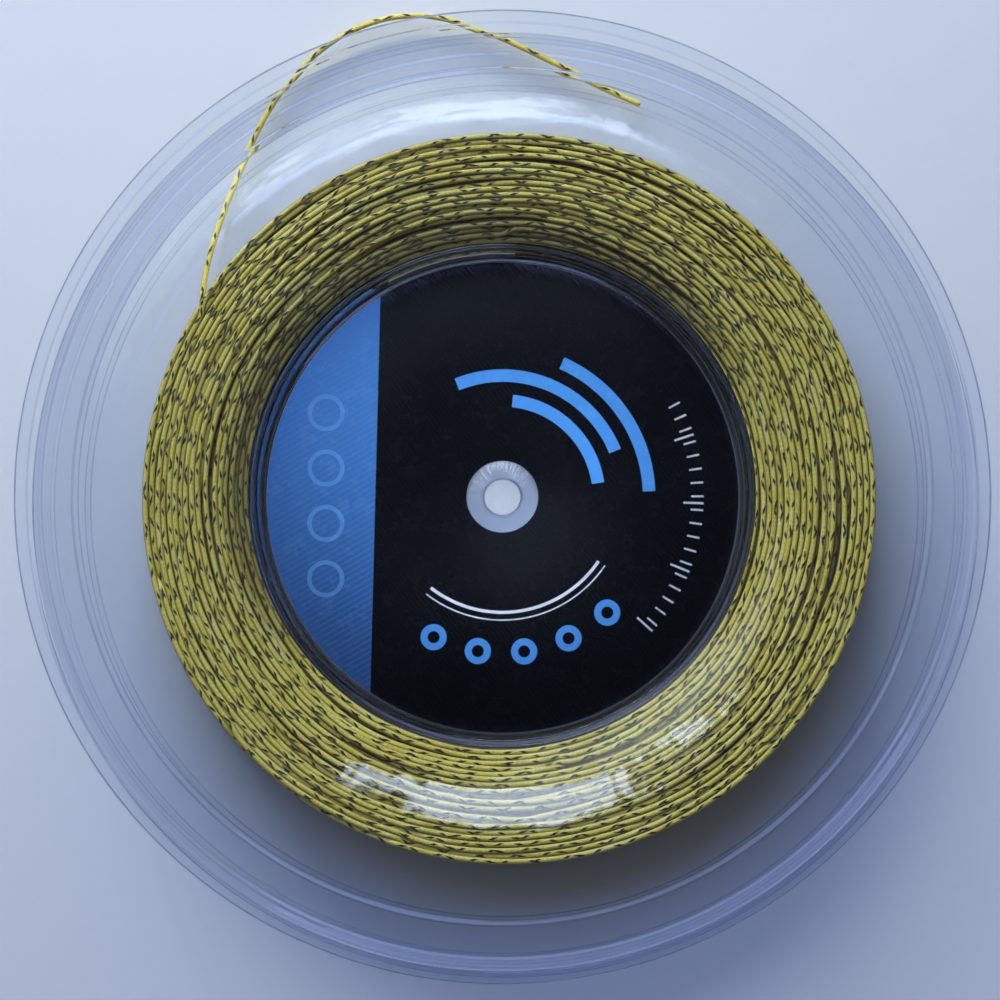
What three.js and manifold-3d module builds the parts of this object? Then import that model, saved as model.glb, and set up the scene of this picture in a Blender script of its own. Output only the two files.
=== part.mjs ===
// A reel of racket string, lying flat: two clear moulded halves joined back to back at the hub,
// a printed disc label in the front recess, the wound string, and its loose end.
// Millimetres, +Z up. The origin is the centre of the ring that the reel lies on.
import * as THREE from 'three';
import Module from 'manifold-3d';
import { mergeVertices } from 'three/addons/utils/BufferGeometryUtils.js';

// ---- driving dimensions ----
const RIM_R = 100;            // outside radius of both flanges
const THICK = 26;             // over both rims
const MID = THICK / 2;        // height of the plane where the halves meet
const SEG = 64;               // sides of every turned surface
const HALF_GAP = 0.15;        // each floor stays this far from the middle plane
const FLOOR_TOP = 1.65;       // outer face of a hub floor, from the middle plane
const SPINDLE_R = 4.25;       // spindle hole at a floor's outer face
const SPINDLE_R_IN = 3.75;    // spindle hole where the halves meet
const CUP_R = 49.3;           // recess radius at its floor
const DRUM_R_MID = 50.7;      // string side of the drum at the middle plane
const DRUM_R_FLANGE = 51.6;   // string side of the drum at the flange
const RIDGE_R = 87;           // foot of the ring step in the flange
const PEG_R = 1.5;            // locating peg
const PEG_HOLE_R = 1.8;       // its hole in the other half
const PEG_CIRCLE = 30;        // circle that the pegs stand on
const PEG_REACH = 1.35;       // how far a peg crosses the middle plane
const LABEL_R = 48.9;
const LABEL_HOLE_R = 7.4;
const LABEL_T = 0.2;
const LABEL_LIFT = 0.1;       // label's underside above the floor
const WIND_R = 75.5;          // outside of the winding
const WIND_OFF = [1.45, -0.45]; // it has built up a little more on one side, so its outside is this far off the axis
const STRING_D = 1.25;        // string diameter
const TAPE_T = 0.15;          // anchor tape
const TAPE_GAP = 0.1;         // between the drum and the tape
const TAPE_Z = [2.0, 5.2];    // its edges, from the middle plane
const TAPE_FROM = 87;         // degrees round the drum
const TAPE_TO = 118;

// The loose end from the winding to its cut end: down onto the rear flange, out over the rim and back.
const LOOSE_END = [
  [-62.75, 41.10, 12.60], [-62.44, 44.71, 12.37], [-61.62, 49.65, 11.52], [-60.50, 54.40, 10.12],
  [-59.20, 59.01, 8.43], [-57.77, 63.56, 6.67], [-56.18, 68.11, 5.07],
  [-54.36, 72.70, 3.89], [-52.29, 77.31, 3.45], [-49.96, 81.82, 3.40],
  [-47.30, 86.15, 3.40], [-44.25, 90.21, 3.40], [-40.75, 93.89, 3.40],
  [-36.82, 97.11, 3.40], [-32.48, 99.74, 3.40], [-27.78, 101.67, 3.40],
  [-22.84, 102.82, 3.40], [-17.77, 103.07, 3.40], [-12.75, 102.38, 3.40],
  [-7.87, 100.95, 3.40], [-3.15, 99.08, 3.40], [1.48, 96.99, 3.40],
  [6.07, 94.80, 3.40], [10.62, 92.55, 3.45], [15.16, 90.28, 3.52],
  [19.72, 88.03, 3.58], [24.31, 85.86, 3.62], [28.96, 83.80, 3.65],
];

// ---- helpers ----
const wasm = await Module();
wasm.setup();

function toManifold(geometry) {
  let g = geometry.clone();
  g.deleteAttribute('normal');
  g.deleteAttribute('uv');
  g = mergeVertices(g, 1e-4);
  return new wasm.Manifold(new wasm.Mesh({
    numProp: 3,
    vertProperties: new Float32Array(g.attributes.position.array),
    triVerts: new Uint32Array(g.index.array),
  }));
}

function fromManifold(solid) {
  const m = solid.getMesh();
  const g = new THREE.BufferGeometry();
  g.setAttribute('position', new THREE.BufferAttribute(new Float32Array(m.vertProperties), 3));
  g.setIndex(new THREE.BufferAttribute(new Uint32Array(m.triVerts), 1));
  g.computeVertexNormals();
  return g;
}

// A closed [radius, height] outline turned about Z. A lathe turns about Y, so it is stood up afterwards.
function turned(outline, segments = SEG) {
  const pts = outline.map(([r, z]) => new THREE.Vector2(r, z));
  pts.push(pts[0].clone());
  const g = new THREE.LatheGeometry(pts, segments);
  g.rotateX(Math.PI / 2);
  // A full turn keeps its corners on the X and Y axes.
  return g;
}

function post(radius, z0, z1, x, y, sides = 20) {
  const g = new THREE.CylinderGeometry(radius, radius, z1 - z0, sides);
  g.rotateX(Math.PI / 2);
  g.translate(x, y, (z0 + z1) / 2);
  return g;
}

function at(degrees, radius) {
  const a = degrees * Math.PI / 180;
  return [radius * Math.cos(a), radius * Math.sin(a)];
}

// ---- one moulded half: flange, drum wall and hub floor in one piece ----
// Heights are measured from the middle plane, outwards. Counter-clockwise, so faces point out.
const HALF_OUTLINE = [
  [SPINDLE_R_IN, HALF_GAP],
  [DRUM_R_MID, HALF_GAP],                 // meeting face
  [DRUM_R_FLANGE, 8.35],                  // drum wall, string side
  [52.2, 8.62],                           // channel side of the flange, coned
  [70.0, 9.43],
  [78.5, 9.82],
  [RIDGE_R, 10.2],                        // the wall keeps its thickness through the ring step
  [88.2, 10.66],
  [94.4, 10.82],
  [95.2, 11.02],                          // and through the rim step
  [96.6, 11.6],
  [97.4, 11.8],
  [RIM_R, 11.8],
  [RIM_R, MID],                           // rim edge
  [97.4, MID],                            // rim, the ring that the reel lies on
  [96.6, 12.8],
  [95.2, 12.2],
  [94.4, 12.0],                           // foot of the rim step
  [88.2, 12.0],                           // flat ring
  [RIDGE_R, 11.45],                       // ring step
  [78.5, 11.07],                          // web, coned by 2.6 degrees
  [70.0, 10.68],
  [51.5, 9.84],
  [50.7, 9.7],
  [50.35, 9.2],                           // mouth of the recess
  [49.65, 2.1],                           // recess wall, drafted
  [CUP_R, FLOOR_TOP],
  [SPINDLE_R, FLOOR_TOP],                 // hub floor, outer face
  [SPINDLE_R_IN, 0.9],                    // countersunk spindle hole
];

function mouldedHalf() {
  let solid = toManifold(turned(HALF_OUTLINE));
  // The halves are one moulding used twice, so each has three pegs and three holes, and
  // turning one over brings its pegs to the other's holes.
  for (const a of [90, 210, 330]) {
    const [x, y] = at(a, PEG_CIRCLE);
    solid = solid.subtract(toManifold(post(PEG_HOLE_R, -1, 3, x, y)));
  }
  for (const a of [30, 150, 270]) {
    const [x, y] = at(a, PEG_CIRCLE);
    solid = solid.add(toManifold(post(PEG_R, -PEG_REACH, 0.9, x, y)));
  }
  return fromManifold(solid);
}

function outlineRing(outline) {
  return fromManifold(toManifold(turned(outline)));
}

// ---- materials ----
const clear = (hex) => new THREE.MeshStandardMaterial({
  color: hex, roughness: 0.08, metalness: 0, transparent: true, opacity: 0.35,
});
const labelInk = new THREE.MeshStandardMaterial({ color: 0x111319, roughness: 0.3, metalness: 0 });
const stringYellow = new THREE.MeshStandardMaterial({ color: 0xa8a04c, roughness: 0.6, metalness: 0 });
const stringLoose = new THREE.MeshStandardMaterial({ color: 0xb0a850, roughness: 0.6, metalness: 0 });

// ---- assembly ----
const reel = new THREE.Group();

const front = new THREE.Mesh(mouldedHalf(), clear(0xcfdbee));
front.name = 'front_half';
front.position.set(0, 0, MID);
reel.add(front);

const rearSide = new THREE.Group();       // turned over about X
rearSide.rotation.x = Math.PI;
rearSide.position.set(0, 0, MID);
const rear = new THREE.Mesh(mouldedHalf(), clear(0xc4d2e8));
rear.name = 'rear_half';
rearSide.add(rear);
reel.add(rearSide);

const z0 = FLOOR_TOP + LABEL_LIFT;
const label = new THREE.Mesh(outlineRing([
  [LABEL_HOLE_R, z0], [LABEL_R, z0], [LABEL_R, z0 + LABEL_T], [LABEL_HOLE_R, z0 + LABEL_T],
]), labelInk);
label.name = 'front_label';
label.position.set(0, 0, MID);
reel.add(label);

// The winding fills the channel from one flange to the other, and sinks away from them near the drum.
const WIND_FACE = [[51.4, 3.2], [52.2, 3.5], [54, 4.25], [58, 6.2], [63, 7.9], [69.5, 8.95], [74.4, 9.3], [75.3, 8.4]];
const wound = turned([
  [51.05, 0], ...WIND_FACE.map(([r, z]) => [r, -z]), [WIND_R, 0], ...WIND_FACE.toReversed(),
]);
const at3 = wound.attributes.position;
for (let i = 0; i < at3.count; i++) {
  const f = Math.max(0, (Math.hypot(at3.getX(i), at3.getY(i)) - 51.6) / (WIND_R - 51.6));
  at3.setXY(i, at3.getX(i) + WIND_OFF[0] * f, at3.getY(i) + WIND_OFF[1] * f);
}
const winding = new THREE.Mesh(fromManifold(toManifold(wound)), stringYellow);
winding.name = 'string_winding';
winding.position.set(0, 0, MID);
reel.add(winding);

// A short strip of tape on the drum, under the winding, holds the string's inner end.
const drumR = (z) => DRUM_R_MID + (DRUM_R_FLANGE - DRUM_R_MID) * (z - HALF_GAP) / (8.35 - HALF_GAP);
const [t0, t1] = TAPE_Z;
const strip = toManifold(turned([
  [drumR(t0) + TAPE_GAP, t0], [drumR(t0) + TAPE_GAP + TAPE_T, t0],
  [drumR(t1) + TAPE_GAP + TAPE_T, t1], [drumR(t1) + TAPE_GAP, t1],
]));
const span = new THREE.Shape([[0, 0], at(TAPE_FROM, 80), at((TAPE_FROM + TAPE_TO) / 2, 80), at(TAPE_TO, 80)]
  .map(([x, y]) => new THREE.Vector2(x, y)));
const tape = new THREE.Mesh(
  fromManifold(strip.intersect(toManifold(new THREE.ExtrudeGeometry(span, { depth: 12, bevelEnabled: false })))),
  new THREE.MeshStandardMaterial({ color: 0xc9c8c2, roughness: 0.55, metalness: 0 }),
);
tape.name = 'anchor_tape';
tape.position.set(0, 0, MID);
reel.add(tape);

// The loose end: a round section with eight sides carried along the route.
const section = new THREE.Shape();
for (let i = 0; i < 8; i++) {
  const a = (i + 0.5) * Math.PI / 4;
  const p = [STRING_D / 2 * Math.cos(a), STRING_D / 2 * Math.sin(a)];
  if (i === 0) section.moveTo(...p); else section.lineTo(...p);
}
section.closePath();
const route = new THREE.CatmullRomCurve3(LOOSE_END.map((p) => new THREE.Vector3(...p)), false, 'centripetal');
const loose = new THREE.Mesh(
  fromManifold(toManifold(new THREE.ExtrudeGeometry(section, { steps: 44, bevelEnabled: false, extrudePath: route }))),
  stringLoose,
);
loose.name = 'string_loose_end';
reel.add(loose);

export default reel;
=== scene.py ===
import math

import bpy
import numpy as np
from mathutils import Matrix, Vector


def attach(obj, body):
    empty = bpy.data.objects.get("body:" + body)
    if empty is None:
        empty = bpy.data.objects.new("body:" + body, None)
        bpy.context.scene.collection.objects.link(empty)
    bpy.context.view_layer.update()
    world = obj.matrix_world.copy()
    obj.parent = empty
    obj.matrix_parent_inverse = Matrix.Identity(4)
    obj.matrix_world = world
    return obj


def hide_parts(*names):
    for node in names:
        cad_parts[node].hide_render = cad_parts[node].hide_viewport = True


# The looks of the string reel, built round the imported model: metres, the reel lying flat on z = 0,
# its front towards +Z. Lengths that are easier to read in millimetres are multiplied by MM.
MM = 0.001
MID = 13.0                 # middle plane, mm
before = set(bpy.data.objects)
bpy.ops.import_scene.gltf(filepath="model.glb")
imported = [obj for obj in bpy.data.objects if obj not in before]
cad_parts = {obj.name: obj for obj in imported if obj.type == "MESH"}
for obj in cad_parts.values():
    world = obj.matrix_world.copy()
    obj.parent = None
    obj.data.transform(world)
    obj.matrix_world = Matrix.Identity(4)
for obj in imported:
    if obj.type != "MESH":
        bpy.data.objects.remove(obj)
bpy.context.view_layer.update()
scene = bpy.context.scene
# Light that reaches a surface through the clear halves is taken by the shadow rays, so it isn't counted a second time.
for key, value in (("caustics_refractive", False), ("caustics_reflective", False), ("max_bounces", 16),
                   ("transmission_bounces", 16), ("transparent_max_bounces", 40)):
    if hasattr(scene, "cycles") and hasattr(scene.cycles, key):
        setattr(scene.cycles, key, value)


# ------------------------------------------------------------------ camera
def look(eye, target, up):
    eye, target, up = Vector(eye) * MM, Vector(target) * MM, Vector(up)
    f = (target - eye).normalized()
    r = f.cross(up).normalized()
    u = r.cross(f)
    m = Matrix((r, u, -f)).transposed().to_4x4()
    m.translation = eye
    return m


cam_data = bpy.data.cameras.new("camera")
cam = bpy.data.objects.new("camera", cam_data)
scene.collection.objects.link(cam)
scene.camera = cam
cam_data.sensor_width = 36.0
cam_data.lens = 141.264
cam_data.clip_start, cam_data.clip_end = 0.05, 60.0
cam.matrix_world = look((15.7375, -57.4847, 826.0), (-0.2625, -1.4847, 26.0), (0, 1, 0))


# ------------------------------------------------------------------ mesh helpers
def make_object(name, verts, faces, material, uv=None, sharp=None):
    """verts in mm. faces is an (n, 4) array of quads or a list of index lists. uv is per loop."""
    me = bpy.data.meshes.new(name)
    verts = np.asarray(verts, float) * MM
    if isinstance(faces, np.ndarray):
        n = len(faces)
        me.vertices.add(len(verts))
        me.vertices.foreach_set("co", verts.astype(np.float32).ravel())
        me.loops.add(n * 4)
        me.loops.foreach_set("vertex_index", faces.astype(np.int32).ravel())
        me.polygons.add(n)
        me.polygons.foreach_set("loop_start", np.arange(0, n * 4, 4, dtype=np.int32))
        me.update(calc_edges=True)
    else:
        me.from_pydata(verts.tolist(), [], faces)
    me.validate()
    if uv is not None:
        layer = me.uv_layers.new(name="string_uv")
        layer.data.foreach_set("uv", np.asarray(uv, np.float32).ravel())
    me.polygons.foreach_set("use_smooth", np.ones(len(me.polygons), bool))
    if sharp is not None:
        me.set_sharp_from_angle(angle=math.radians(sharp))
    me.materials.append(material)
    o = bpy.data.objects.new(name, me)
    scene.collection.objects.link(o)
    return o


def catmull(points, per_span):
    """Centripetal Catmull-Rom through the points, as three.js draws it."""
    p = np.asarray(points, float)
    n = len(p)
    out = []
    for i in range(n - 1):
        p1, p2 = p[i], p[i + 1]
        p0 = p[i - 1] if i > 0 else 2 * p1 - p2
        p3 = p[i + 2] if i + 2 < n else 2 * p2 - p1
        d0 = max(np.linalg.norm(p1 - p0) ** 0.5, 1e-6)
        d1 = max(np.linalg.norm(p2 - p1) ** 0.5, 1e-6)
        d2 = max(np.linalg.norm(p3 - p2) ** 0.5, 1e-6)
        t1 = ((p1 - p0) / d0 - (p2 - p0) / (d0 + d1) + (p2 - p1) / d1) * d1
        t2 = ((p2 - p1) / d1 - (p3 - p1) / (d1 + d2) + (p3 - p2) / d2) * d1
        for k in range(per_span):
            t = k / per_span
            out.append((2 * t**3 - 3 * t**2 + 1) * p1 + (t**3 - 2 * t**2 + t) * t1
                       + (-2 * t**3 + 3 * t**2) * p2 + (t**3 - t**2) * t2)
    out.append(p[-1])
    return np.array(out)


def tube(path, radius, sides, u0=0.0, up=(0, 0, 1), taper=None):
    """A round string along path: vertices, quads, end caps and a map with the length in mm along u and the way round along v."""
    p = np.asarray(path, float)
    n = len(p)
    t = np.gradient(p, axis=0)
    t /= np.linalg.norm(t, axis=1, keepdims=True)
    e1 = np.asarray(up, float) - (t @ np.asarray(up, float))[:, None] * t
    e1 /= np.linalg.norm(e1, axis=1, keepdims=True)
    e2 = np.cross(t, e1)
    a = 2 * np.pi * np.arange(sides) / sides
    r = np.full(n, float(radius)) if taper is None else radius * taper
    ring = (e1[:, None, :] * np.cos(a)[None, :, None] + e2[:, None, :] * np.sin(a)[None, :, None]) * r[:, None, None]
    verts = (p[:, None, :] + ring).reshape(-1, 3)
    i = np.arange(n - 1)[:, None] * sides
    k = np.arange(sides)[None, :]
    k2 = (k + 1) % sides
    faces = np.stack([i + k, i + k2, i + sides + k2, i + sides + k], -1).reshape(-1, 4)
    s = u0 + np.concatenate([[0], np.cumsum(np.linalg.norm(np.diff(p, axis=0), axis=1))])
    s0 = np.repeat(s[:-1], sides)
    s1 = np.repeat(s[1:], sides)
    v0 = np.tile(np.arange(sides) / sides, n - 1)
    v1 = np.tile((np.arange(sides) + 1) / sides, n - 1)
    uv = np.stack([np.stack([s0, v0], -1), np.stack([s0, v1], -1), np.stack([s1, v1], -1), np.stack([s1, v0], -1)], 1)
    return verts, faces, uv, s[-1]


def cap(verts, faces, uv, path, sides, u_end):
    """Closes both ends of a tube with quads: two for six sides, three for eight, five for twelve."""
    n = len(verts) // sides
    extra, extra_uv = [], []
    for start, flip, u in ((0, True, 0.0), ((n - 1) * sides, False, u_end)):
        idx = [start + j for j in range(sides)]
        for j in range(1, sides - 2, 2):
            q = [idx[0], idx[j], idx[j + 1], idx[j + 2]]
            extra.append(q[::-1] if flip else q)
            extra_uv.append([[u, 0.1 * m] for m in range(4)])
    return np.concatenate([faces, np.array(extra)]), np.concatenate([uv, np.array(extra_uv)])


# ------------------------------------------------------------------ node helpers
class Tree:
    """A material's nodes, with a short way to write sums."""

    def __init__(self, name, world=None):
        self.mat = world or bpy.data.materials.new(name)
        self.mat.use_nodes = True
        self.t = self.mat.node_tree
        self.t.nodes.clear()
        self.out = self.t.nodes.new("ShaderNodeOutputWorld" if world else "ShaderNodeOutputMaterial")

    def node(self, kind, inputs=None, **props):
        n = self.t.nodes.new(kind)
        for k, v in props.items():
            setattr(n, k, v)
        for k, v in (inputs or {}).items():
            self.put(n.inputs[k], v)
        return n

    def put(self, socket, value):
        if isinstance(value, S):
            self.t.links.new(value.s, socket)
        elif isinstance(value, bpy.types.NodeSocket):
            self.t.links.new(value, socket)
        else:
            socket.default_value = value

    def math(self, op, *args, clamp=False):
        n = self.t.nodes.new("ShaderNodeMath")
        n.operation = op
        n.use_clamp = clamp
        for i, a in enumerate(args):
            self.put(n.inputs[i], a)
        return S(self, n.outputs[0])

    def noise(self, vector, scale, detail=2.0, rough=0.5, out="Fac", dims="3D", w=None, distortion=0.0):
        n = self.node("ShaderNodeTexNoise", noise_dimensions=dims)
        if vector is not None:
            self.put(n.inputs["Vector"], vector)
        if w is not None:
            self.put(n.inputs["W"], w)
        n.inputs["Scale"].default_value = scale
        n.inputs["Detail"].default_value = detail
        n.inputs["Roughness"].default_value = rough
        n.inputs["Distortion"].default_value = distortion
        return S(self, n.outputs[out])

    def ramp(self, fac, stops, interpolation="LINEAR"):
        n = self.t.nodes.new("ShaderNodeValToRGB")
        n.color_ramp.interpolation = interpolation
        e = n.color_ramp.elements
        while len(e) < len(stops):
            e.new(0.5)
        for x, (pos, col) in zip(e, stops):
            x.position = pos
            x.color = col if len(col) == 4 else (*col, 1)
        self.put(n.inputs[0], fac)
        return S(self, n.outputs[0])

    def mix(self, fac, a, b, blend="MIX"):
        n = self.t.nodes.new("ShaderNodeMix")
        n.data_type = "RGBA"
        n.blend_type = blend
        n.clamp_factor = True
        self.put(n.inputs[0], fac)
        for i, v in ((6, a), (7, b)):
            if isinstance(v, tuple) and len(v) == 3:
                v = (*v, 1)
            self.put(n.inputs[i], v)
        return S(self, n.outputs[2])

    def step(self, x, lo, hi):
        """0 below lo, 1 above hi, smooth between."""
        n = self.t.nodes.new("ShaderNodeMapRange")
        n.interpolation_type = "SMOOTHSTEP"
        self.put(n.inputs[0], x)
        n.inputs[1].default_value, n.inputs[2].default_value = lo, hi
        n.inputs[3].default_value, n.inputs[4].default_value = 0.0, 1.0
        return S(self, n.outputs[0])

    def xyz(self, vector):
        n = self.t.nodes.new("ShaderNodeSeparateXYZ")
        self.put(n.inputs[0], vector)
        return [S(self, o) for o in n.outputs]

    def vec(self, x, y, z):
        n = self.t.nodes.new("ShaderNodeCombineXYZ")
        for i, v in enumerate((x, y, z)):
            self.put(n.inputs[i], v)
        return S(self, n.outputs[0])

    def coords(self):
        n = self.t.nodes.new("ShaderNodeTexCoord")
        return S(self, n.outputs["Object"])

    def string_uv(self):
        n = self.t.nodes.new("ShaderNodeUVMap")
        n.uv_map = "string_uv"
        return S(self, n.outputs[0])

    def bump(self, height, distance, strength=1.0, normal=None):
        n = self.t.nodes.new("ShaderNodeBump")
        n.inputs["Strength"].default_value = strength
        n.inputs["Distance"].default_value = distance
        self.put(n.inputs["Height"], height)
        if normal is not None:
            self.put(n.inputs["Normal"], normal)
        return S(self, n.outputs[0])


class S:
    """One socket, with arithmetic."""

    def __init__(self, tree, socket):
        self.tree, self.s = tree, socket

    def __add__(self, o): return self.tree.math("ADD", self, o)
    def __radd__(self, o): return self.tree.math("ADD", o, self)
    def __sub__(self, o): return self.tree.math("SUBTRACT", self, o)
    def __rsub__(self, o): return self.tree.math("SUBTRACT", o, self)
    def __mul__(self, o): return self.tree.math("MULTIPLY", self, o)
    def __rmul__(self, o): return self.tree.math("MULTIPLY", o, self)
    def __truediv__(self, o): return self.tree.math("DIVIDE", self, o)
    def __neg__(self): return self.tree.math("MULTIPLY", self, -1.0)
    def abs(self): return self.tree.math("ABSOLUTE", self)
    def frac(self): return self.tree.math("FRACT", self)
    def sqrt(self): return self.tree.math("SQRT", self)
    def min(self, o): return self.tree.math("MINIMUM", self, o)
    def max(self, o): return self.tree.math("MAXIMUM", self, o)
    def clamp(self): return self.tree.math("MULTIPLY", self, 1.0, clamp=True)


# ------------------------------------------------------------------ braided string
def string_material(name, dark=1.0, warm=0.0, contact_shade=0.0):
    """The last argument sets how dark a painted shade makes the string where it touches its neighbours."""
    t = Tree(name)
    u, v, _ = t.xyz(t.string_uv())
    # The string turns slowly about itself along its length.
    twist = t.noise(None, 0.013, 1.0, out="Fac", dims="1D", w=u) * 3.2
    v_raw = v
    v = v + twist
    # Sixteen yarns: eight each way round, laid over and under.
    pitch = 7.5
    a = (u / pitch + v)
    b = (u / pitch - v)
    ya = (a * 8.0).frac()
    yb = (b * 8.0).frac()
    ridge_a = ((ya - 0.5).abs() * -2.0 + 1.0)
    ridge_b = ((yb - 0.5).abs() * -2.0 + 1.0)
    over = t.step(((a - b) * 4.0 + (a + b) * 0.5).frac(), 0.42, 0.58)
    weave = ridge_a.sqrt() * over + ridge_b.sqrt() * (1.0 - over)
    # Two dark tracer yarns, one each way, seen where they pass over.
    jit = (t.noise(None, 0.35, 1.0, dims="1D", w=u) - 0.5) * 0.12
    ta = ((a + 0.5).frac() - 0.5).abs()
    tb = ((b + 1.0).frac() - 0.5).abs()
    turned_a = (((v_raw + jit) * 2.0 + 0.5).frac() - 0.5).abs()
    turned_b = (((v_raw - jit + 0.03) * 2.0 + 0.5).frac() - 0.5).abs()
    fleck_a = (1.0 - t.step(ta, 0.070, 0.088)) * (1.0 - t.step(turned_a, 0.13, 0.175))
    fleck_b = (1.0 - t.step(tb, 0.070, 0.088)) * (1.0 - t.step(turned_b, 0.13, 0.175))
    fleck = fleck_a.max(fleck_b)
    # Yarn colour: olive yellow, going greener, paler and browner along the string.
    slow = t.noise(None, 0.05, 3.0, 0.6, dims="1D", w=u)
    fine = t.noise(t.vec(u * 0.9, v * 3.0, 0.0), 1.3, 3.0, 0.6)
    col = t.ramp(slow * 0.65 + fine * 0.35, [
        (0.26, (0.560 * dark, 0.370 * dark, 0.035 * dark)),
        (0.42, (0.820 * dark, 0.640 * dark, 0.075 * dark)),
        (0.56, (0.920 * dark, 0.770 * dark, 0.135 * dark)),
        (0.74, (0.980 * dark, 0.870 * dark, 0.260 * dark)),
    ])
    # painted shade: the braid is darker in the valleys between the yarns
    col = t.mix((1.0 - weave) * 0.40, col, (0.26 * dark, 0.20 * dark, 0.020 * dark), "MIX")
    # painted shade: browner for turns that lie under others
    if warm:
        col = t.mix(warm, col, (0.30 * dark, 0.20 * dark, 0.03 * dark))
    if contact_shade:
        # painted shade where the neighbours touch it, level with the face of the winding, which dips towards the drum
        x, y, z = t.xyz(t.coords())
        r = (x * x + y * y).sqrt()
        dip = (1.0 - t.step(r, 0.057, 0.069)) * 0.068 + 0.010
        front_side = t.step(z, 0.0125, 0.0135) * 2.0 - 1.0
        side = 1.0 - (((v_raw - dip * front_side) * 2.0).frac() - 0.5).abs() * 2.0
        col = t.mix(t.step(side, 0.42, 0.86) * contact_shade, col, (0.030, 0.020, 0.004))
        # painted shade: the string by the drum on the upper left side, the side the window light comes from, is
        # darkened to brown
        toward = (x * -0.5 + y * 0.866) / r
        drum_shade = t.step(toward, -0.35, 0.35) * (1.0 - t.step(r, 0.0540, 0.0597))
        col = t.mix(drum_shade * 0.64, col, (0.050, 0.026, 0.004))
    col = t.mix(fleck, col, (0.006, 0.007, 0.009))
    bsdf = t.node("ShaderNodeBsdfPrincipled")
    t.put(bsdf.inputs["Base Color"], col)
    t.put(bsdf.inputs["Roughness"], 0.36 + (1.0 - weave) * 0.22 + fine * 0.12)
    bsdf.inputs["IOR"].default_value = 1.5
    bsdf.inputs["Specular IOR Level"].default_value = 0.5
    t.put(bsdf.inputs["Normal"], t.bump(weave * (1.0 - fleck * 0.25), 0.00009, 0.85))
    t.put(t.out.inputs["Surface"], bsdf.outputs[0])
    return t.mat


string_mat = string_material("string_braid")
# the turns seen through the flanges carry painted shade where they touch each other
face_mat = string_material("string_braid_packed", contact_shade=0.58)
# painted shade: the second layer under the top turns is a darker, browner copy of the braid
under_shade_mat = string_material("string_braid_under", dark=0.34, warm=0.35, contact_shade=0.8)


# ------------------------------------------------------------------ the loose end
STRING_D = 1.25
LOOSE_END = [
    (-62.75, 41.10, 12.60), (-62.44, 44.71, 12.37), (-61.62, 49.65, 11.52), (-60.50, 54.40, 10.12),
    (-59.20, 59.01, 8.43), (-57.77, 63.56, 6.67), (-56.18, 68.11, 5.07),
    (-54.36, 72.70, 3.89), (-52.29, 77.31, 3.45), (-49.96, 81.82, 3.40),
    (-47.30, 86.15, 3.40), (-44.25, 90.21, 3.40), (-40.75, 93.89, 3.40),
    (-36.82, 97.11, 3.40), (-32.48, 99.74, 3.40), (-27.78, 101.67, 3.40),
    (-22.84, 102.82, 3.40), (-17.77, 103.07, 3.40), (-12.75, 102.38, 3.40),
    (-7.87, 100.95, 3.40), (-3.15, 99.08, 3.40), (1.48, 96.99, 3.40),
    (6.07, 94.80, 3.40), (10.62, 92.55, 3.45), (15.16, 90.28, 3.52),
    (19.72, 88.03, 3.58), (24.31, 85.86, 3.62), (28.96, 83.80, 3.65),
]
loose_path = catmull(LOOSE_END, 8)
# The cut tip closes in a little, as braid does when it is clipped.
left = np.linalg.norm(loose_path - loose_path[-1], axis=1)
tip = np.clip(left / 0.5, 0, 1)
taper = 0.86 + 0.14 * tip**0.5
lv, lf, luv, l_end = tube(loose_path, STRING_D / 2, 12, taper=taper)
lf, luv = cap(lv, lf, luv, loose_path, 12, l_end)
loose_end = make_object("string_loose_end_braided", lv, lf, string_mat, luv)
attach(loose_end, "root")
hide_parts("string_loose_end")
l_end * MM


# ------------------------------------------------------------------ the winding
D = STRING_D


def wander(total, freqs, amps, seed):
    """A smooth random walk in an angle, in turns; the frequencies needn't be whole."""
    r = np.random.default_rng(seed)
    out = np.zeros_like(total)
    for f, a in zip(freqs, amps):
        out += a * np.sin(2 * np.pi * (f * total + r.random()))
    return out


def web_z(r):
    """Outer face of a flange's web, from the middle plane: a cone of 2.6 degrees."""
    return 10.68 + (np.asarray(r, float) - 70.0) * math.tan(math.radians(2.6))


def dish(r):
    """The web's slope rises a little outwards in its inner part, so it stands a hair lower there."""
    return -0.0075 * np.exp(-((np.asarray(r, float) - 65.3) / 5.0) ** 2)


def flange_z(r):
    """Channel side of a flange, from the middle plane."""
    return web_z(r) - 1.25


def face_z(r):
    """How high the string lies against a flange: the winding sinks away from it near the drum."""
    return flange_z(r) - 4.8 * np.exp(-(np.clip(r - 52.2, 0, None) / 7.5) ** 1.4) - 0.32


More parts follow.
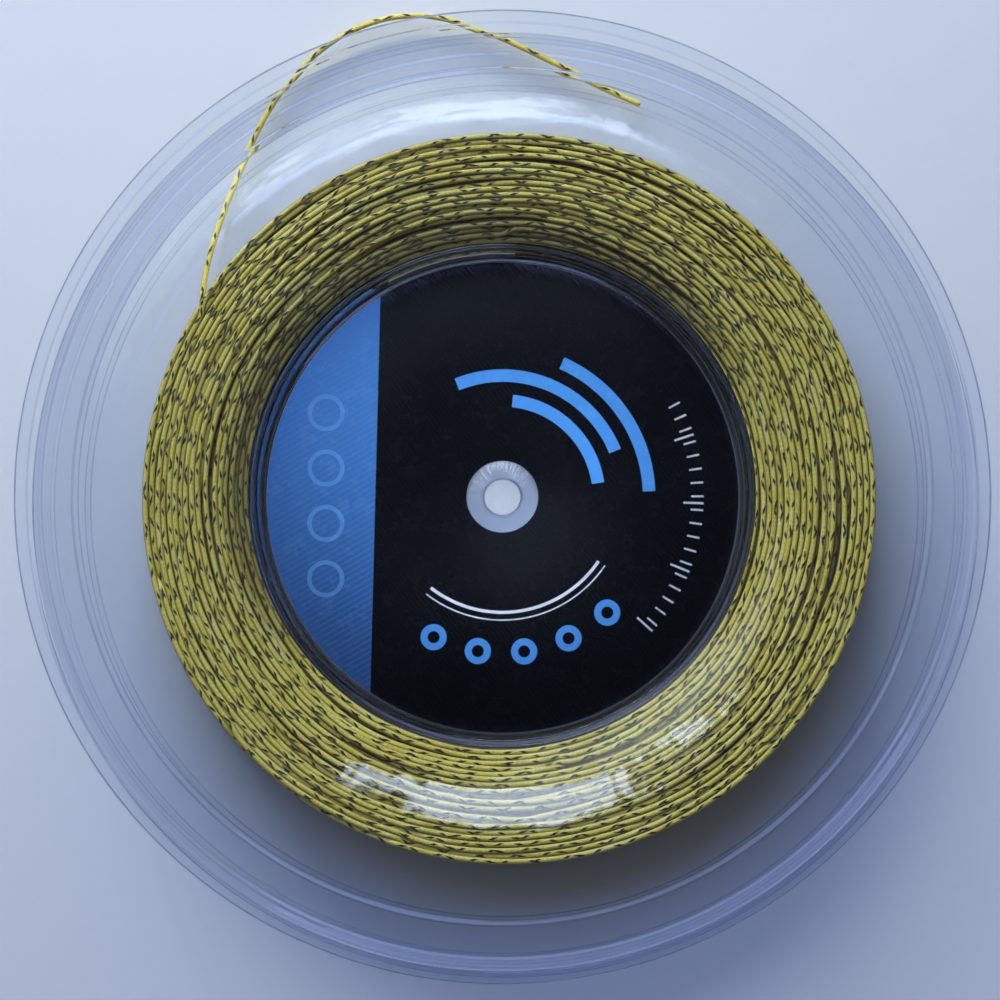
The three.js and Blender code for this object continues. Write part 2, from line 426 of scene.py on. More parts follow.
def lay_face(turns, slices, seed):
    """Turns seen through a flange: round sections that push each other aside, layer on layer.
    Gives radius and height from the middle plane, for the top layer and the one below, [turn, slice]."""
    r0, r1 = 52.32, 74.86
    k = np.arange(slices) / slices
    i = np.arange(turns)[:, None]
    total = i + k[None, :]
    # evenly spaced along the slope of the face
    grid = np.linspace(r0, r1 + 0.5, 400)
    run = np.concatenate([[0], np.cumsum(np.hypot(np.diff(grid), np.diff(face_z(grid))))])
    full = np.interp(r1, grid, run)
    base = np.interp(full * np.clip(total / (turns - 1), 0, 1.02), run, grid)
    th = 2 * np.pi * k[None, :]
    common = np.zeros_like(total)
    r = np.random.default_rng(seed)
    for f in (2, 3, 4, 5, 7, 9, 12):
        ph, slope = r.random() * 6.28, r.normal() * 0.18
        common += r.normal() * 0.30 / f**0.55 * np.sin(f * th + ph + slope * i)
    own = wander(total, [0.31, 0.77, 1.37, 2.9, 4.3, 7.1, 11.3], [0.22, 0.28, 0.26, 0.20, 0.15, 0.11, 0.05], seed + 1)
    low = wander(total, [0.53, 1.19, 2.3, 3.7, 6.1, 9.7], [0.30, 0.30, 0.27, 0.22, 0.16, 0.08], seed + 2)
    edge = np.clip(np.minimum(total, turns - 1 - total) / 2.0, 0, 1)
    R = base + (common + own) * (0.25 + 0.75 * edge)
    Z = face_z(R) - 0.02 - D / 2 - np.clip(low + 0.2, 0, 0.95) * (0.15 + 0.85 * edge)
    r_u = base + 0.5 * (r1 - r0) / (turns - 1)
    Ru = r_u[:-1] + 0.8 * (common[:-1] + wander(total[:-1], [0.41, 1.1, 2.3, 5.1], [0.25, 0.25, 0.2, 0.1], seed + 3))
    Zu = face_z(Ru) - 0.02 - D / 2 - 1.0 - 0.25 * np.abs(wander(total[:-1], [0.9, 2.1, 4.7], [0.5, 0.4, 0.3], seed + 4))

    def apart(ra, za, rb, zb, wa=0.5, wb=0.5, d=D * 0.985):
        dr, dz = rb - ra, zb - za
        dist = np.sqrt(dr * dr + dz * dz) + 1e-9
        push = np.clip(d - dist, 0, None) * 0.8
        ra -= wa * push * dr / dist
        za -= wa * push * dz / dist
        rb += wb * push * dr / dist
        zb += wb * push * dz / dist

    for it in range(70):
        for off in (1, 2):
            for par in range(off + 1):
                a = np.arange(par, turns - off, off + 1)
                ra, za, rb, zb = R[a], Z[a], R[a + off], Z[a + off]
                apart(ra, za, rb, zb)
                R[a], Z[a], R[a + off], Z[a + off] = ra, za, rb, zb
        for par in (0, 1):
            a = np.arange(par, turns - 2, 2)
            ra, za, rb, zb = Ru[a], Zu[a], Ru[a + 1], Zu[a + 1]
            apart(ra, za, rb, zb)
            Ru[a], Zu[a], Ru[a + 1], Zu[a + 1] = ra, za, rb, zb
        for sh in (0, 1):
            ra, za, rb, zb = R[sh:turns - 1 + sh].copy(), Z[sh:turns - 1 + sh].copy(), Ru.copy(), Zu.copy()
            apart(ra, za, rb, zb, 0.25, 0.75)
            R[sh:turns - 1 + sh], Z[sh:turns - 1 + sh], Ru, Zu = ra, za, rb, zb
        R = np.clip(R, 51.62 + D / 2, 75.42 - D / 2)
        Ru = np.clip(Ru, 51.4 + D / 2, 75.0 - D / 2)
        Z = np.minimum(Z, face_z(R) - D / 2)
        Z = np.maximum(Z, face_z(R) - D / 2 - 1.45)
        Zu = np.minimum(Zu, face_z(Ru) - D / 2 - 0.55)
    return R, Z, Ru, Zu


def run_on(A, slices, smooth=2):
    """[turn, slice] to one run along the string, lightly smoothed."""
    x = A.reshape(-1).copy()
    for _ in range(smooth):
        x[1:-1] = 0.25 * x[:-2] + 0.5 * x[1:-1] + 0.25 * x[2:]
    return x


def path_of(R, H, phase, sign, flip):
    n = len(R)
    th = phase + sign * 2 * np.pi * np.arange(n) / SL
    z = MID + (-H if flip else H)
    return settle(np.stack([R * np.cos(th), R * np.sin(th), z], -1))


WIND_OFF = (1.45, -0.45)   # how far the outside of the winding stands off the axis


def settle(p):
    """Moves points of the winding by their share of WIND_OFF."""
    p = np.array(p, float)
    f = np.clip((np.hypot(p[:, 0], p[:, 1]) - 51.6) / 23.9, 0, None)
    p[:, 0] += WIND_OFF[0] * f
    p[:, 1] += WIND_OFF[1] * f
    return p


TURNS, SL = 20, 480
PHASE = math.radians(148.0)
RF, ZF, RFU, ZFU = lay_face(TURNS, SL, 5)
front_R, front_H = run_on(RF, SL), run_on(ZF, SL)
dive = np.clip(1 - np.arange(len(front_R)) / (SL * 0.10), 0, 1)
front_H = front_H - 1.7 * dive**2 * (3 - 2 * dive)

# Outside of the winding: rows from the front edge to the rear edge.
ROWS = 14
rows_n = ROWS * SL
k = np.arange(rows_n) / SL
row_R = 75.47 - D / 2 - 0.42 * np.abs(wander(k, [0.37, 1.3, 2.7, 5.3], [0.4, 0.4, 0.3, 0.2], 21))
row_H = (8.55 - 17.1 * k / ROWS) - 0.62 + 0.62 * 2 * (k / ROWS) + wander(k, [0.6, 1.7, 3.9], [0.10, 0.08, 0.05], 22)
# joins the front face's last turn smoothly
m = np.clip(k / 0.35, 0, 1)
m = m * m * (3 - 2 * m)
row_R = (1 - m) * front_R[-1] + m * row_R
row_H = (1 - m) * front_H[-1] + m * row_H
front_path = path_of(front_R, front_H, PHASE, -1, False)
row_path = path_of(row_R, row_H, PHASE - 2 * np.pi * TURNS, -1, False)

RR, ZR, RRU, ZRU = lay_face(TURNS, SL, 77)
rear_R = run_on(RR, SL)[::-1].copy()
rear_H = run_on(ZR, SL)[::-1].copy()
dive = np.clip(1 - np.arange(len(rear_R))[::-1] / (SL * 0.10), 0, 1)
rear_H = rear_H - 1.7 * dive**2 * (3 - 2 * dive)
j = np.clip(np.arange(len(rear_R)) / (0.35 * SL), 0, 1)
j = j * j * (3 - 2 * j)
rear_R = (1 - j) * row_R[-1] + j * rear_R
rear_H = (1 - j) * (-row_H[-1]) + j * rear_H
rear_path = path_of(rear_R, rear_H, PHASE - 2 * np.pi * (TURNS + ROWS), -1, True)


def string_piece(name, path, sides, u0, material):
    v, f, uv, end = tube(path, D / 2, sides, u0)
    f, uv = cap(v, f, uv, path, sides, end)
    o = make_object(name, v, f, material, uv)
    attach(o, "root")
    return o, end


wind_front, u1 = string_piece("winding_front_turns", front_path, 8, 300.0, face_mat)
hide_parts("string_winding")
wind_rows, u2 = string_piece("winding_outer_turns", row_path[::2], 8, u1, string_mat)
wind_rear, u3 = string_piece("winding_rear_turns", rear_path[::2], 8, u2, face_mat)
under_f = path_of(run_on(RFU, SL), run_on(ZFU, SL), PHASE, -1, False)
wind_under, u4 = string_piece("winding_front_second_layer", under_f[::3], 6, u3, under_shade_mat)
under_r = path_of(run_on(RRU, SL)[::-1], run_on(ZRU, SL)[::-1], PHASE, -1, True)
wind_under_r, u5 = string_piece("winding_rear_second_layer", under_r[::3], 6, u4, under_shade_mat)

# The string comes off the outside of the winding and meets the loose end.
p1 = np.array(LOOSE_END[0])
d1 = loose_path[1] - loose_path[0]
d1 /= np.linalg.norm(d1)
th0 = math.radians(158.0)
p0 = settle([[74.72 * math.cos(th0), 74.72 * math.sin(th0), 13.1]])[0]
d0 = np.array([math.sin(th0), -math.cos(th0), 0.0])
span = np.linalg.norm(p1 - p0)
tt = np.linspace(0, 1, 30)[:, None]
lead = ((2 * tt**3 - 3 * tt**2 + 1) * p0 + (tt**3 - 2 * tt**2 + tt) * span * d0
        + (-2 * tt**3 + 3 * tt**2) * p1 + (tt**3 - tt**2) * span * d1)
before = np.array([[74.72 * math.cos(x), 74.72 * math.sin(x), 13.1] for x in np.linspace(th0 + 0.5, th0, 24)[:-1]])
before[:, :2] *= (1 + np.linspace(-0.9, 0, 23) / 74.72)[:, None]
before = settle(before)
lead_piece, u6 = string_piece("winding_last_turn", np.concatenate([before, lead]), 8, u5, string_mat)


def core_shade_material():
    t = Tree("winding_core")
    x, y, z = t.xyz(t.coords())
    r = (x * x + y * y).sqrt()
    wob = t.noise(t.coords(), 60.0, 2.0) * 0.0012
    rings = ((r + wob) / (D * MM)).frac()
    arc = ((rings - 0.5).abs() * -2.0 + 1.0)
    grain = t.noise(t.coords(), 900.0, 3.0, 0.6)
    # painted shade: the core stands for the deeper turns, near black brown, a little lighter along the middle of each
    # ring like the tops of turns
    col = t.ramp(grain * 0.5 + arc * 0.5, [(0.2, (0.012, 0.009, 0.003)), (0.8, (0.085, 0.062, 0.014))])
    b = t.node("ShaderNodeBsdfPrincipled")
    t.put(b.inputs["Base Color"], col)
    b.inputs["Roughness"].default_value = 0.7
    t.put(b.inputs["Normal"], t.bump(arc, 0.0004, 1.0))
    t.put(t.out.inputs["Surface"], b.outputs[0])
    return t.mat


# ------------------------------------------------------------------ turned pieces
def rounded(outline, radii, steps=4):
    """A closed outline with its corners rounded by the given radii."""
    p = [np.array(q, float) for q in outline]
    n = len(p)
    out = []
    for i in range(n):
        a, b, c = p[i - 1], p[i], p[(i + 1) % n]
        r = radii[i]
        u, w = a - b, c - b
        lu, lw = np.linalg.norm(u), np.linalg.norm(w)
        u, w = u / lu, w / lw
        ang = math.acos(max(-1, min(1, float(u @ w))))
        if r <= 0 or math.pi - ang < 0.02:
            out.append(b)
            continue
        cut = min(r / math.tan(ang / 2), 0.45 * lu, 0.45 * lw)
        r = cut * math.tan(ang / 2)
        s, e = b + u * cut, b + w * cut
        mid = (u + w) / np.linalg.norm(u + w)
        centre = b + mid * (r / math.sin(ang / 2))
        a0 = math.atan2(*(s - centre)[::-1])
        a1 = math.atan2(*(e - centre)[::-1])
        da = (a1 - a0 + math.pi) % (2 * math.pi) - math.pi
        m = max(2, steps if abs(da) > 0.6 else 3)
        for q in range(m + 1):
            x = a0 + da * q / m
            out.append(centre + r * np.array([math.cos(x), math.sin(x)]))
    return np.array(out)


def guarded(outline, at=0.03, shortest=0.35):
    """Adds a point close to both ends of every straight run, so that its shading stays flat between them.
    The web's short runs are left as they are: their shading goes on smoothly."""
    out = []
    n = len(outline)
    for i in range(n):
        a, b = outline[i], outline[(i + 1) % n]
        out.append(a)
        d = np.linalg.norm(b - a)
        on_web = min(a[0], b[0]) > 53.9 and max(a[0], b[0]) < 77.1 and abs(a[1]) > 8
        if d > shortest and not on_web:
            out += [a + (b - a) * at / d, b - (b - a) * at / d]
    return np.array(out)


def lathe(outline, segments, flip=False):
    o = np.asarray(outline, float)
    n = len(o)
    th = 2 * np.pi * np.arange(segments) / segments
    z = MID + (-o[:, 1] if flip else o[:, 1])
    v = np.stack([o[None, :, 0] * np.cos(th)[:, None], o[None, :, 0] * np.sin(th)[:, None],
                  np.broadcast_to(z, (segments, n))], -1).reshape(-1, 3)
    i = (np.arange(segments)[:, None]) * n
    i2 = ((np.arange(segments)[:, None] + 1) % segments) * n
    k = np.arange(n)[None, :]
    k2 = (k + 1) % n
    f = np.stack([i + k, i2 + k, i2 + k2, i + k2], -1).reshape(-1, 4)
    return v, (f[:, ::-1] if flip else f)


CORE = [(r, float(face_z(r)) - 2.2) for r in (51.9, 54.0, 56.0, 58.0, 60.5, 63.0, 66.0, 69.5, 73.9)] + [(74.3, 6.6)]
core_v, core_f = lathe([[51.05, 0]] + [[r, -z] for r, z in CORE] + [[r, z] for r, z in CORE[::-1]], 256)
core_v = settle(core_v)
core = make_object("winding_core", core_v, core_f, core_shade_material(), sharp=40)
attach(core, "root")


# ------------------------------------------------------------------ clear moulded halves
def clear_material(name, seed, tint):
    t = Tree(name)
    p = t.coords()
    x, y, z = t.xyz(p)
    r = (x * x + y * y).sqrt() * 1000.0
    ang = t.math("ARCTAN2", y, x)
    off = t.vec(seed * 0.37, seed * 0.11, 0.0)
    q = t.node("ShaderNodeVectorMath", operation="ADD")
    t.put(q.inputs[0], p)
    t.put(q.inputs[1], off)
    q = S(t, q.outputs[0])
    sink = t.noise(q, 70.0, 1.0, 0.4)                     # flow waves left by the mould
    streak = t.noise(t.vec(r * 0.10, ang * 9.0, seed * 1.7), 1.0, 2.0, 0.5)
    grit = t.noise(q, 2600.0, 1.0, 0.5)
    smear = t.noise(q, 28.0, 4.0, 0.62)
    n1 = t.bump(sink, 0.000007, 1.0)
    n2 = t.bump(streak, 0.000003, 1.0, n1)
    n3 = t.bump(grit, 0.0000001, 1.0, n2)
    # rubbed dull in streaks on the far side of the web, where the string is pulled off
    rub = t.noise(t.vec(r * 0.55, ang * 6.0, seed), 1.0, 3.0, 0.6)
    rubbed = t.step(y, 0.044, 0.062) * t.step(r, 73.5, 76.5) * (1.0 - t.step(r, 84.5, 87.0))
    rough = (0.006 + t.step(smear, 0.50, 0.80) * 0.020 + t.step(grit, 0.70, 0.80) * 0.03
             + rubbed * (0.006 + t.step(rub, 0.44, 0.62) * 0.026))
    b = t.node("ShaderNodeBsdfPrincipled")
    # painted shade: the turned edges of the steps are tinted dark and pass less light
    edge_shade = None
    for edge, width, strength in ((87.0, 0.16, 0.75), (88.25, 0.20, 0.9), (94.4, 0.18, 0.5), (95.2, 0.12, 0.35), (97.4, 0.15, 0.8), (99.75, 0.14, 1.0)):
        m = (1.0 - t.step((r - edge).abs(), width * 0.4, width)) * strength
        edge_shade = m if edge_shade is None else edge_shade.max(m)
    edge_shade = edge_shade * (0.65 + t.step(smear, 0.40, 0.62) * 0.35)
    body = t.mix(t.step(r, 96.4, 97.4), tint, (0.938, 0.962, 0.998))
    t.put(b.inputs["Base Color"], t.mix(edge_shade, body, (0.52, 0.56, 0.70)))
    b.inputs["Transmission Weight"].default_value = 1.0
    b.inputs["IOR"].default_value = 1.55
    t.put(b.inputs["Roughness"], rough)
    t.put(b.inputs["Normal"], n3)
    # dull round the spindle hole
    matt = t.node("ShaderNodeBsdfDiffuse")
    matt.inputs["Color"].default_value = (0.76, 0.84, 0.95, 1)
    shell = t.node("ShaderNodeMixShader")
    t.put(shell.inputs[0], (1.0 - t.step(r, 7.2, 8.0)) * (0.08 + t.step(smear, 0.40, 0.62) * 0.06))
    t.put(shell.inputs[1], b.outputs[0])
    t.put(shell.inputs[2], matt.outputs[0])
    # Light on its way to the string and the floor passes straight through, a little weaker.
    lp = t.node("ShaderNodeLightPath")
    clear = t.node("ShaderNodeBsdfTransparent")
    clear.inputs[0].default_value = (0.910, 0.926, 0.960, 1)
    direct = t.node("ShaderNodeMixShader")
    t.put(direct.inputs[0], lp.outputs["Is Shadow Ray"])
    t.put(direct.inputs[1], shell.outputs[0])
    t.put(direct.inputs[2], clear.outputs[0])
    mixed = t.node("ShaderNodeMixShader")
    t.put(mixed.inputs[0], lp.outputs["Is Diffuse Ray"])
    t.put(mixed.inputs[1], direct.outputs[0])
    t.put(mixed.inputs[2], clear.outputs[0])
    t.put(t.out.inputs["Surface"], mixed.outputs[0])
    return t.mat


WEB_R = (54.0, 56.5, 58.5, 60.0, 61.5, 63.0, 64.5, 66.0, 67.5, 69.0, 70.5, 72.0, 74.0, 77.0)
CHANNEL_SIDE = [([r, float(flange_z(r) + dish(r))], 0) for r in WEB_R]
WEB = [([r, float(web_z(r) + dish(r))], 0) for r in WEB_R[::-1]]
HALF = [
    ([3.75, 0.15], .05), ([50.7, 0.15], .08), ([51.6, 8.35], .3), ([52.2, 8.62], .5), *CHANNEL_SIDE,
    ([87, 10.2], .35), ([88.2, 10.66], .35), ([94.4, 10.82], .5), ([95.2, 11.02], .6), ([96.6, 11.6], .5), ([97.4, 11.8], .35),
    ([100, 11.8], .3), ([100, 13], .3), ([97.4, 13], .35),
    ([96.6, 12.8], .5), ([95.2, 12.2], .6), ([94.4, 12.0], .5), ([88.2, 12.0], .35), ([87, 11.45], .35),
    *WEB, ([51.5, 9.84], .8), ([50.7, 9.7], .35), ([50.35, 9.2], .5), ([49.65, 2.1], .3), ([49.3, 1.65], .2),
    ([4.25, 1.65], .12), ([3.75, 0.9], .1),
]
SEGMENTS = 360


def half(name, material, flip, marks):
    outline = guarded(rounded([p for p, _ in HALF], [r for _, r in HALF]))
    v, f = lathe(outline, SEGMENTS, flip)
    o = make_object(name, v, f, material)

    def cutter(cx, cy, z_lo, z_hi, radius, sides=48):
        a = 2 * np.pi * (np.arange(sides) + 0.5) / sides
        ring = np.stack([cx + radius * np.cos(a), cy + radius * np.sin(a)], -1)
        pts = [(x, y, z_lo) for x, y in ring] + [(x, y, z_hi) for x, y in ring]
        faces = [list(range(sides))[::-1], list(range(sides, 2 * sides))]
        faces += [[i, (i + 1) % sides, sides + (i + 1) % sides, sides + i] for i in range(sides)]
        c = make_object(name + "_cutter", pts, faces, material)
        return c

    def apply(c, operation):
        mod = o.modifiers.new("b", "BOOLEAN")
        mod.operation = operation
        mod.solver = "EXACT"
        mod.object = c
        dg = bpy.context.evaluated_depsgraph_get()
        new = bpy.data.meshes.new_from_object(o.evaluated_get(dg))
        o.modifiers.clear()
        old = o.data
        o.data = new
        bpy.data.meshes.remove(old)
        me = c.data
        bpy.data.objects.remove(c)
        bpy.data.meshes.remove(me)

    s = -1 if flip else 1

    def height(a, b):
        lo, hi = sorted((MID + s * a, MID + s * b))
        return lo, hi

    for deg in (90, 210, 330):
        a = math.radians(deg) * s
        apply(cutter(30 * math.cos(a), 30 * math.sin(a), *height(-1, 3.0), 1.8), "DIFFERENCE")
    for deg in (30, 150, 270):
        a = math.radians(deg) * s
        apply(cutter(30 * math.cos(a), 30 * math.sin(a), *height(-1.35, 0.9), 1.5), "UNION")
    # Round marks of the mould's ejector pins, a shade below the channel side of the flange.
    for deg, rad in marks:
        a = math.radians(deg)
        cx, cy = rad * math.cos(a), rad * math.sin(a)
        z = 10.66 + (rad - 88.2) * 0.16 / 6.2
        apply(cutter(cx, cy, *height(z - 0.6, z + 0.13), 1.75, 40), "DIFFERENCE")
    me = o.data
    me.polygons.foreach_set("use_smooth", np.ones(len(me.polygons), bool))
    me.set_sharp_from_angle(angle=math.radians(32))
    me.materials.clear()
    me.materials.append(material)
    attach(o, "root")
    return o


MARKS = [(4.1, 92.5), (48.1, 92.2), (91.5, 92.6), (152.2, 92.3), (195.6, 92.0), (239.9, 92.2), (285.7, 92.0), (318.4, 92.1)]
front = half("front_half_clear", clear_material("clear_front", 1.0, (0.965, 0.982, 1.0)), False, MARKS)
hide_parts("front_half")
rear = half("rear_half_clear", clear_material("clear_rear", 4.0, (0.965, 0.982, 1.0)), True, [])
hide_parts("rear_half")


# ------------------------------------------------------------------ anchor tape
def tape_material():
    t = Tree("anchor_tape")
    p = t.coords()
    fibre = t.noise(p, 900.0, 4.0, 0.6)
    patch = t.noise(p, 130.0, 3.0, 0.6)
    col = t.ramp(patch * 0.6 + fibre * 0.4, [(0.3, (0.50, 0.50, 0.49)), (0.7, (0.66, 0.66, 0.65))])
    b = t.node("ShaderNodeBsdfPrincipled")
    t.put(b.inputs["Base Color"], col)
    b.inputs["Roughness"].default_value = 0.6
    t.put(b.inputs["Normal"], t.bump(patch, 0.0002, 0.6))
    t.put(t.out.inputs["Surface"], b.outputs[0])
    return t.mat


def drum_r(z):
    return 50.7 + 0.9 * (z - 0.15) / 8.2


strip_a = np.radians(np.linspace(87, 118, 42))
strip = []
for a in strip_a:
    for r, z in ((drum_r(2.0) - 0.02, 2.0), (drum_r(2.0) + 0.2, 2.0), (drum_r(5.2) + 0.2, 5.2), (drum_r(5.2) - 0.02, 5.2)):
        strip.append((r * math.cos(a), r * math.sin(a), MID + z))
m = len(strip_a)
strip_f = [[4 * i + k, 4 * i + 4 + k, 4 * i + 4 + (k + 1) % 4, 4 * i + (k + 1) % 4] for i in range(m - 1) for k in range(4)]
strip_f += [[3, 2, 1, 0][::-1], [4 * (m - 1) + k for k in (3, 2, 1, 0)]]
tape = make_object("anchor_tape_strip", strip, strip_f, tape_material(), sharp=30)
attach(tape, "root")
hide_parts("anchor_tape")


# ------------------------------------------------------------------ label
def label_material():
    t = Tree("label_print")
    x, y, z = t.xyz(t.coords())
    x, y = x * 1000.0, y * 1000.0
    r = (x * x + y * y).sqrt()
    ang = t.math("ARCTAN2", y, x) * (180.0 / math.pi)
    aa = 0.06                                             # soft edge of the ink, mm

    def inside(d):                                        # 1 where a distance is below zero
        return 1.0 - t.step(d, -aa, aa)

    def ring(radius, width):
        return inside((r - radius).abs() - width / 2)

    def sector(lo, hi):
        mid, half_w = (lo + hi) / 2, (hi - lo) / 2
        return inside((ang - mid).abs() - half_w)

    def disc(cx, cy, rad):
        dx, dy = x - cx, y - cy
        return inside((dx * dx + dy * dy).sqrt() - rad)

    # black ground with a faint slanting line screen
    screen = ((x * 0.80 + y * 0.60) / 0.85).frac()
    lines = t.step((screen - 0.5).abs(), 0.34, 0.46)
    haze = t.noise(t.coords(), 45.0, 3.0, 0.6)
    ground = t.mix(lines * 0.50, (0.0018, 0.0019, 0.0030), (0.0050, 0.0054, 0.0080))
    # blue segment at the left, its edge leaning slightly
    edge = x - (y * 0.0232 - 26.35)
    blue = inside(edge)
    fade = t.step(y, -44.0, 44.0)
    blue_col = t.mix(fade, (0.030, 0.085, 0.230), (0.060, 0.215, 0.520))
    weave_lines = t.step((((x * 0.5 - y * 0.87) / 1.1).frac() - 0.5).abs(), 0.30, 0.45)
    blue_col = t.mix(weave_lines * 0.22, blue_col, (0.10, 0.27, 0.58))
    # paler rings down the blue segment
    pale = None
    for cy in (-17.0, -5.5, 6.0, 17.5):
        dx, dy = x + 36.6, y - cy
        m = inside(((dx * dx + dy * dy).sqrt() - 3.4).abs() - 0.45)
        pale = m if pale is None else pale.max(m)
    blue_col = t.mix(pale * 0.55, blue_col, (0.13, 0.34, 0.66))
    col = t.mix(blue, ground, blue_col)
    dark_side = 1.0 - blue
    # light blue arcs of uneven length, upper right
    arcs = (ring(20.0, 2.6) * sector(8, 84)).max(ring(25.2, 2.6) * sector(22, 112)).max(ring(30.4, 2.6) * sector(2, 66))
    col = t.mix(arcs * dark_side, col, (0.072, 0.280, 0.650))
    # white tick scale at the right
    step = ((ang + 60.0) / 4.0).frac()
    tick = inside(((step - 0.5).abs() * 4.0 - 1.72) * -1.0 * 0.6) * inside((r - 40.4).abs() - 1.3) * sector(-42, 30)
    step5 = ((ang + 62.0) / 20.0).frac()
    tick5 = inside((0.5 - (step5 - 0.5).abs()) * 20.0 * 0.7 - 0.22) * inside((r - 39.6).abs() - 2.1) * sector(-44, 32)
    col = t.mix(tick.max(tick5) * dark_side, col, (0.62, 0.65, 0.68))
    # white double line and light blue discs, lower middle
    band = (inside((r - 24.0).abs() - 0.32) * sector(-128, -34)).max(inside((r - 25.6).abs() - 0.14) * sector(-128, -34))
    col = t.mix(band * dark_side, col, (0.66, 0.69, 0.72))
    dots = None
    for deg in (-116, -99, -82, -65, -48):
        a = math.radians(deg)
        m = disc(32.4 * math.cos(a), 32.4 * math.sin(a), 2.7) * (1.0 - disc(32.4 * math.cos(a), 32.4 * math.sin(a), 1.25))
        dots = m if dots is None else dots.max(m)
    col = t.mix(dots * dark_side, col, (0.072, 0.280, 0.650))
    col = t.mix(haze * 0.05, col, (0.10, 0.11, 0.13))
    # bare paper shows at the cut edges
    cut = t.step((r - 28.15).abs(), 20.66, 20.72)
    col = t.mix(cut * 0.6, col, (0.34, 0.36, 0.40))
    # the gummed side underneath is plain paper
    under = 1.0 - t.step(z, 0.01478, 0.01486)
    gum = t.noise(t.coords(), 85.0, 4.0, 0.6)
    col = t.mix(under, col, t.mix(gum, (0.50, 0.50, 0.48), (0.66, 0.66, 0.64)))
    scuff = t.noise(t.coords(), 260.0, 5.0, 0.7)
    b = t.node("ShaderNodeBsdfPrincipled")
    t.put(b.inputs["Base Color"], col)
    t.put(b.inputs["Roughness"], 0.24 + t.step(scuff, 0.48, 0.75) * 0.16)
    b.inputs["Specular IOR Level"].default_value = 0.22
    t.put(b.inputs["Normal"], t.bump(t.noise(t.coords(), 190.0, 2.0), 0.00004, 0.5))
    t.put(t.out.inputs["Surface"], b.outputs[0])
    return t.mat


lab = rounded([[7.4, 1.75], [48.9, 1.75], [48.9, 1.95], [7.4, 1.95]], [0.03, 0.03, 0.05, 0.05], 2)
lab_v, lab_f = lathe(lab, 256)
label = make_object("front_label_print", lab_v, lab_f, label_material(), sharp=40)
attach(label, "root")
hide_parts("front_label")


# ------------------------------------------------------------------ floor
def floor_material():
    t = Tree("pale_floor")
    p = t.coords()
    cloud = t.noise(p, 5.0, 3.0, 0.5)
    fibre = t.noise(p, 520.0, 3.0, 0.6)
    col = t.mix(cloud * 0.5, (0.78, 0.80, 0.825), (0.82, 0.835, 0.855))
    col = t.mix(fibre * 0.16, col, (0.70, 0.72, 0.75))
    b = t.node("ShaderNodeBsdfPrincipled")
    t.put(b.inputs["Base Color"], col)
    b.inputs["Roughness"].default_value = 0.85
    b.inputs["Specular IOR Level"].default_value = 0.2
    t.put(b.inputs["Normal"], t.bump(fibre, 0.00005, 0.4))
    t.put(t.out.inputs["Surface"], b.outputs[0])
    return t.mat


g = 24
gx = np.linspace(-2500, 2500, g + 1)
fv = np.array([(a, b, -0.05) for b in gx for a in gx])
ff = np.array([[j * (g + 1) + i, j * (g + 1) + i + 1, (j + 1) * (g + 1) + i + 1, (j + 1) * (g + 1) + i] for j in range(g) for i in range(g)])
floor = make_object("floor", fv, ff, floor_material())


# ------------------------------------------------------------------ light
def area(name, at, toward, size, power, colour=(1, 1, 1), size_y=None):
    d = bpy.data.lights.new(name, "AREA")
    d.energy = power
    d.color = colour
    d.shape = "RECTANGLE"
    d.size = size
    d.size_y = size_y or size
    o = bpy.data.objects.new(name, d)
    scene.collection.objects.link(o)
    o.location = at
    o.rotation_mode = "QUATERNION"
    o.rotation_quaternion = (Vector(toward) - Vector(at)).to_track_quat("-Z", "Y")
    return o


key = area("key", (-0.200, 0.690, 0.345), (0.0, 0.0, 0.0), 0.62, 6.6, (0.92, 0.985, 0.985), 0.34)
# it stands for the bright foot of the window, which the steps of the clear halves don't show
not_lit = bpy.data.collections.new("not_lit_by_key")
for o in (front, rear):
    not_lit.objects.link(o)
key.light_linking.receiver_collection = not_lit
for c in not_lit.collection_objects:
    c.light_linking.link_state = "EXCLUDE"
# the sky in the upper part of the window: blue, and broad enough to reach into the shadows
high = area("sky_window", (-0.290, 1.050, 1.68), (0.0, 0.0, 0.0), 1.7, 15.5, (0.38, 0.51, 1.04), 1.1)
high.visible_glossy = False
high.visible_camera = False
# the same window as it shines on the glossy braid, and only there
sheen = area("window_on_string", (-0.290, 1.050, 1.68), (0.0, 0.0, 0.0), 1.7, 50.0, (0.92, 1.0, 0.72), 1.1)
sheen.visible_diffuse = False
sheen.visible_transmission = False
sheen.visible_camera = False
braid = bpy.data.collections.new("shone_on")
for o in (wind_front, wind_rows, lead_piece, loose_end):
    braid.objects.link(o)
sheen.light_linking.receiver_collection = braid
# a row of far, small, bright panes, mirrored in the dished flanges
FAR = 40.0
PANE = 4.9                 # radiance
for n, (x_lo, x_hi, y_lo, y_hi) in enumerate(((-1.33, -0.925, 4.47, 4.78), (-1.54, -1.44, 4.44, 4.74))):
    X0, X1, Y0, Y1 = (FAR * math.tan(math.radians(q)) for q in (x_lo, x_hi, y_lo, y_hi))
    area("pane%d" % n, ((X0 + X1) / 2, (Y0 + Y1) / 2, FAR), (0, 0, 0), X1 - X0,
         PANE * math.pi * (X1 - X0) * (Y1 - Y0), (0.66, 0.79, 1.0), Y1 - Y0)

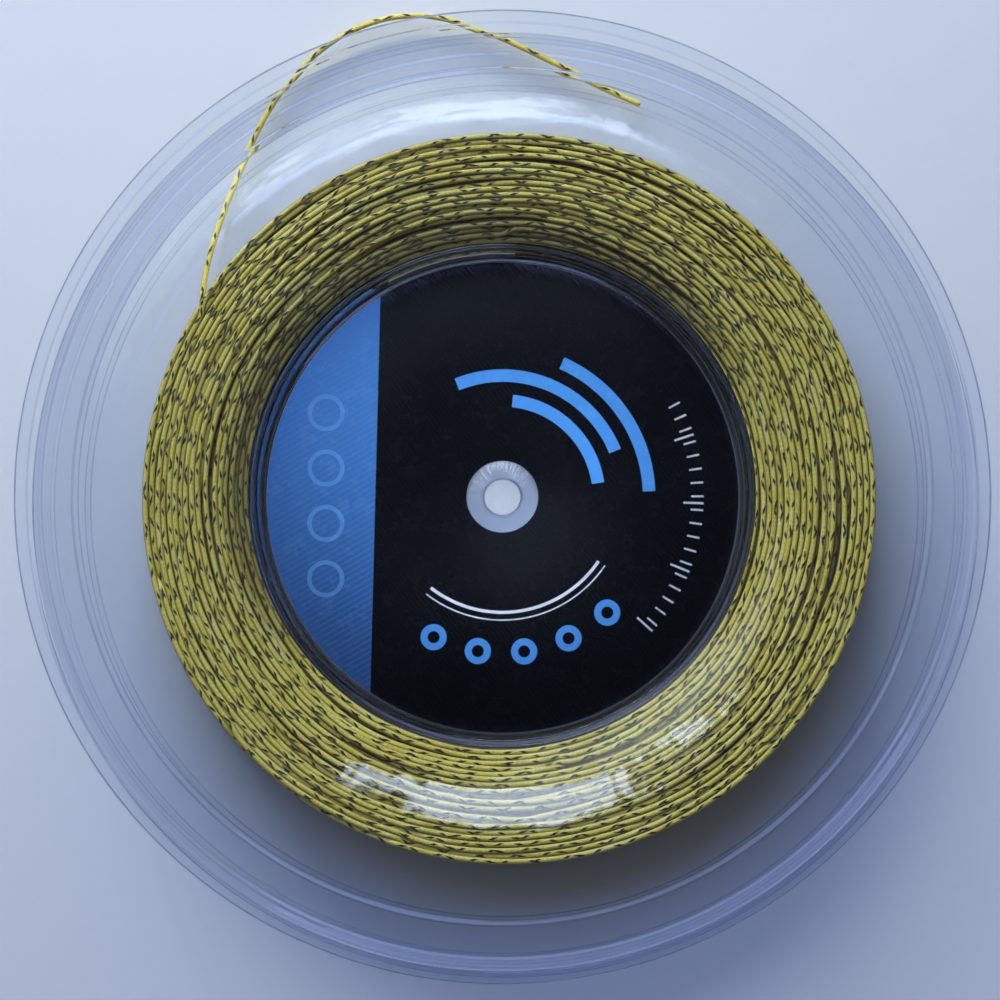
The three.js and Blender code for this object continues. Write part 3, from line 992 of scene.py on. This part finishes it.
# a pale soft patch of sky beside them, in three steps
for n, (w2, h2) in enumerate(((0.62, 0.52), (0.46, 0.38), (0.30, 0.24))):
    dist = FAR + 0.5 * (n + 1)
    a, b = (dist * math.tan(math.radians(q)) for q in (-1.74, 4.93))
    W, H = (2 * dist * math.tan(math.radians(q)) for q in (w2, h2))
    area("cloud%d" % n, (a, b, dist), (0, 0, 0), W, 0.55 * math.pi * W * H, (0.80, 0.95, 0.90), H)

# a little light from the room above, too soft and too far round to show in the plastic
room = area("room", (0.0, 0.0, 1.6), (0.0, 0.0, 0.0), 1.5, 0.9, (0.95, 0.95, 1.0))
room.visible_glossy = False
room.visible_camera = False

# a narrow lamp from above, for the paper under the spindle hole
d = bpy.data.lights.new("hole", "SPOT")
d.energy = 98.0
d.color = (0.728, 0.836, 1.0)
d.spot_size = math.radians(2.2)
d.spot_blend = 0.5
d.shadow_soft_size = 0.03
o = bpy.data.objects.new("hole", d)
scene.collection.objects.link(o)
o.location = (0.015, 0.01, 1.2)
o.rotation_mode = "QUATERNION"
o.rotation_quaternion = (Vector((0, 0, 0.013)) - o.location).to_track_quat("-Z", "Y")
o.visible_glossy = False

world = bpy.data.worlds.new("world")
scene.world = world
w = Tree(None, world)
wx, wy, wz = w.xyz(S(w, w.t.nodes.new("ShaderNodeTexCoord").outputs["Generated"]))
along = wx * -0.5 + wy * 0.87          # towards the window, upper left
across = wx * 0.87 + wy * 0.5
off = (wx * wx + wy * wy).sqrt()
open_sky = w.mix(1.0 - w.step(off, 0.16, 0.36), (0.045, 0.049, 0.062), (0.010, 0.011, 0.013))
glow = w.step(along, 0.130, 0.300) * (1.0 - w.step(along, 0.40, 0.70)) * (1.0 - w.step(across.abs(), 0.30, 0.70))
sky = w.mix(glow, open_sky, (0.42, 0.52, 0.74))
bg = w.t.nodes.new("ShaderNodeBackground")
w.put(bg.inputs[0], sky)
bg.inputs[1].default_value = 1.0
w.put(w.out.inputs["Surface"], bg.outputs[0])

scene.view_settings.view_transform = "Standard"
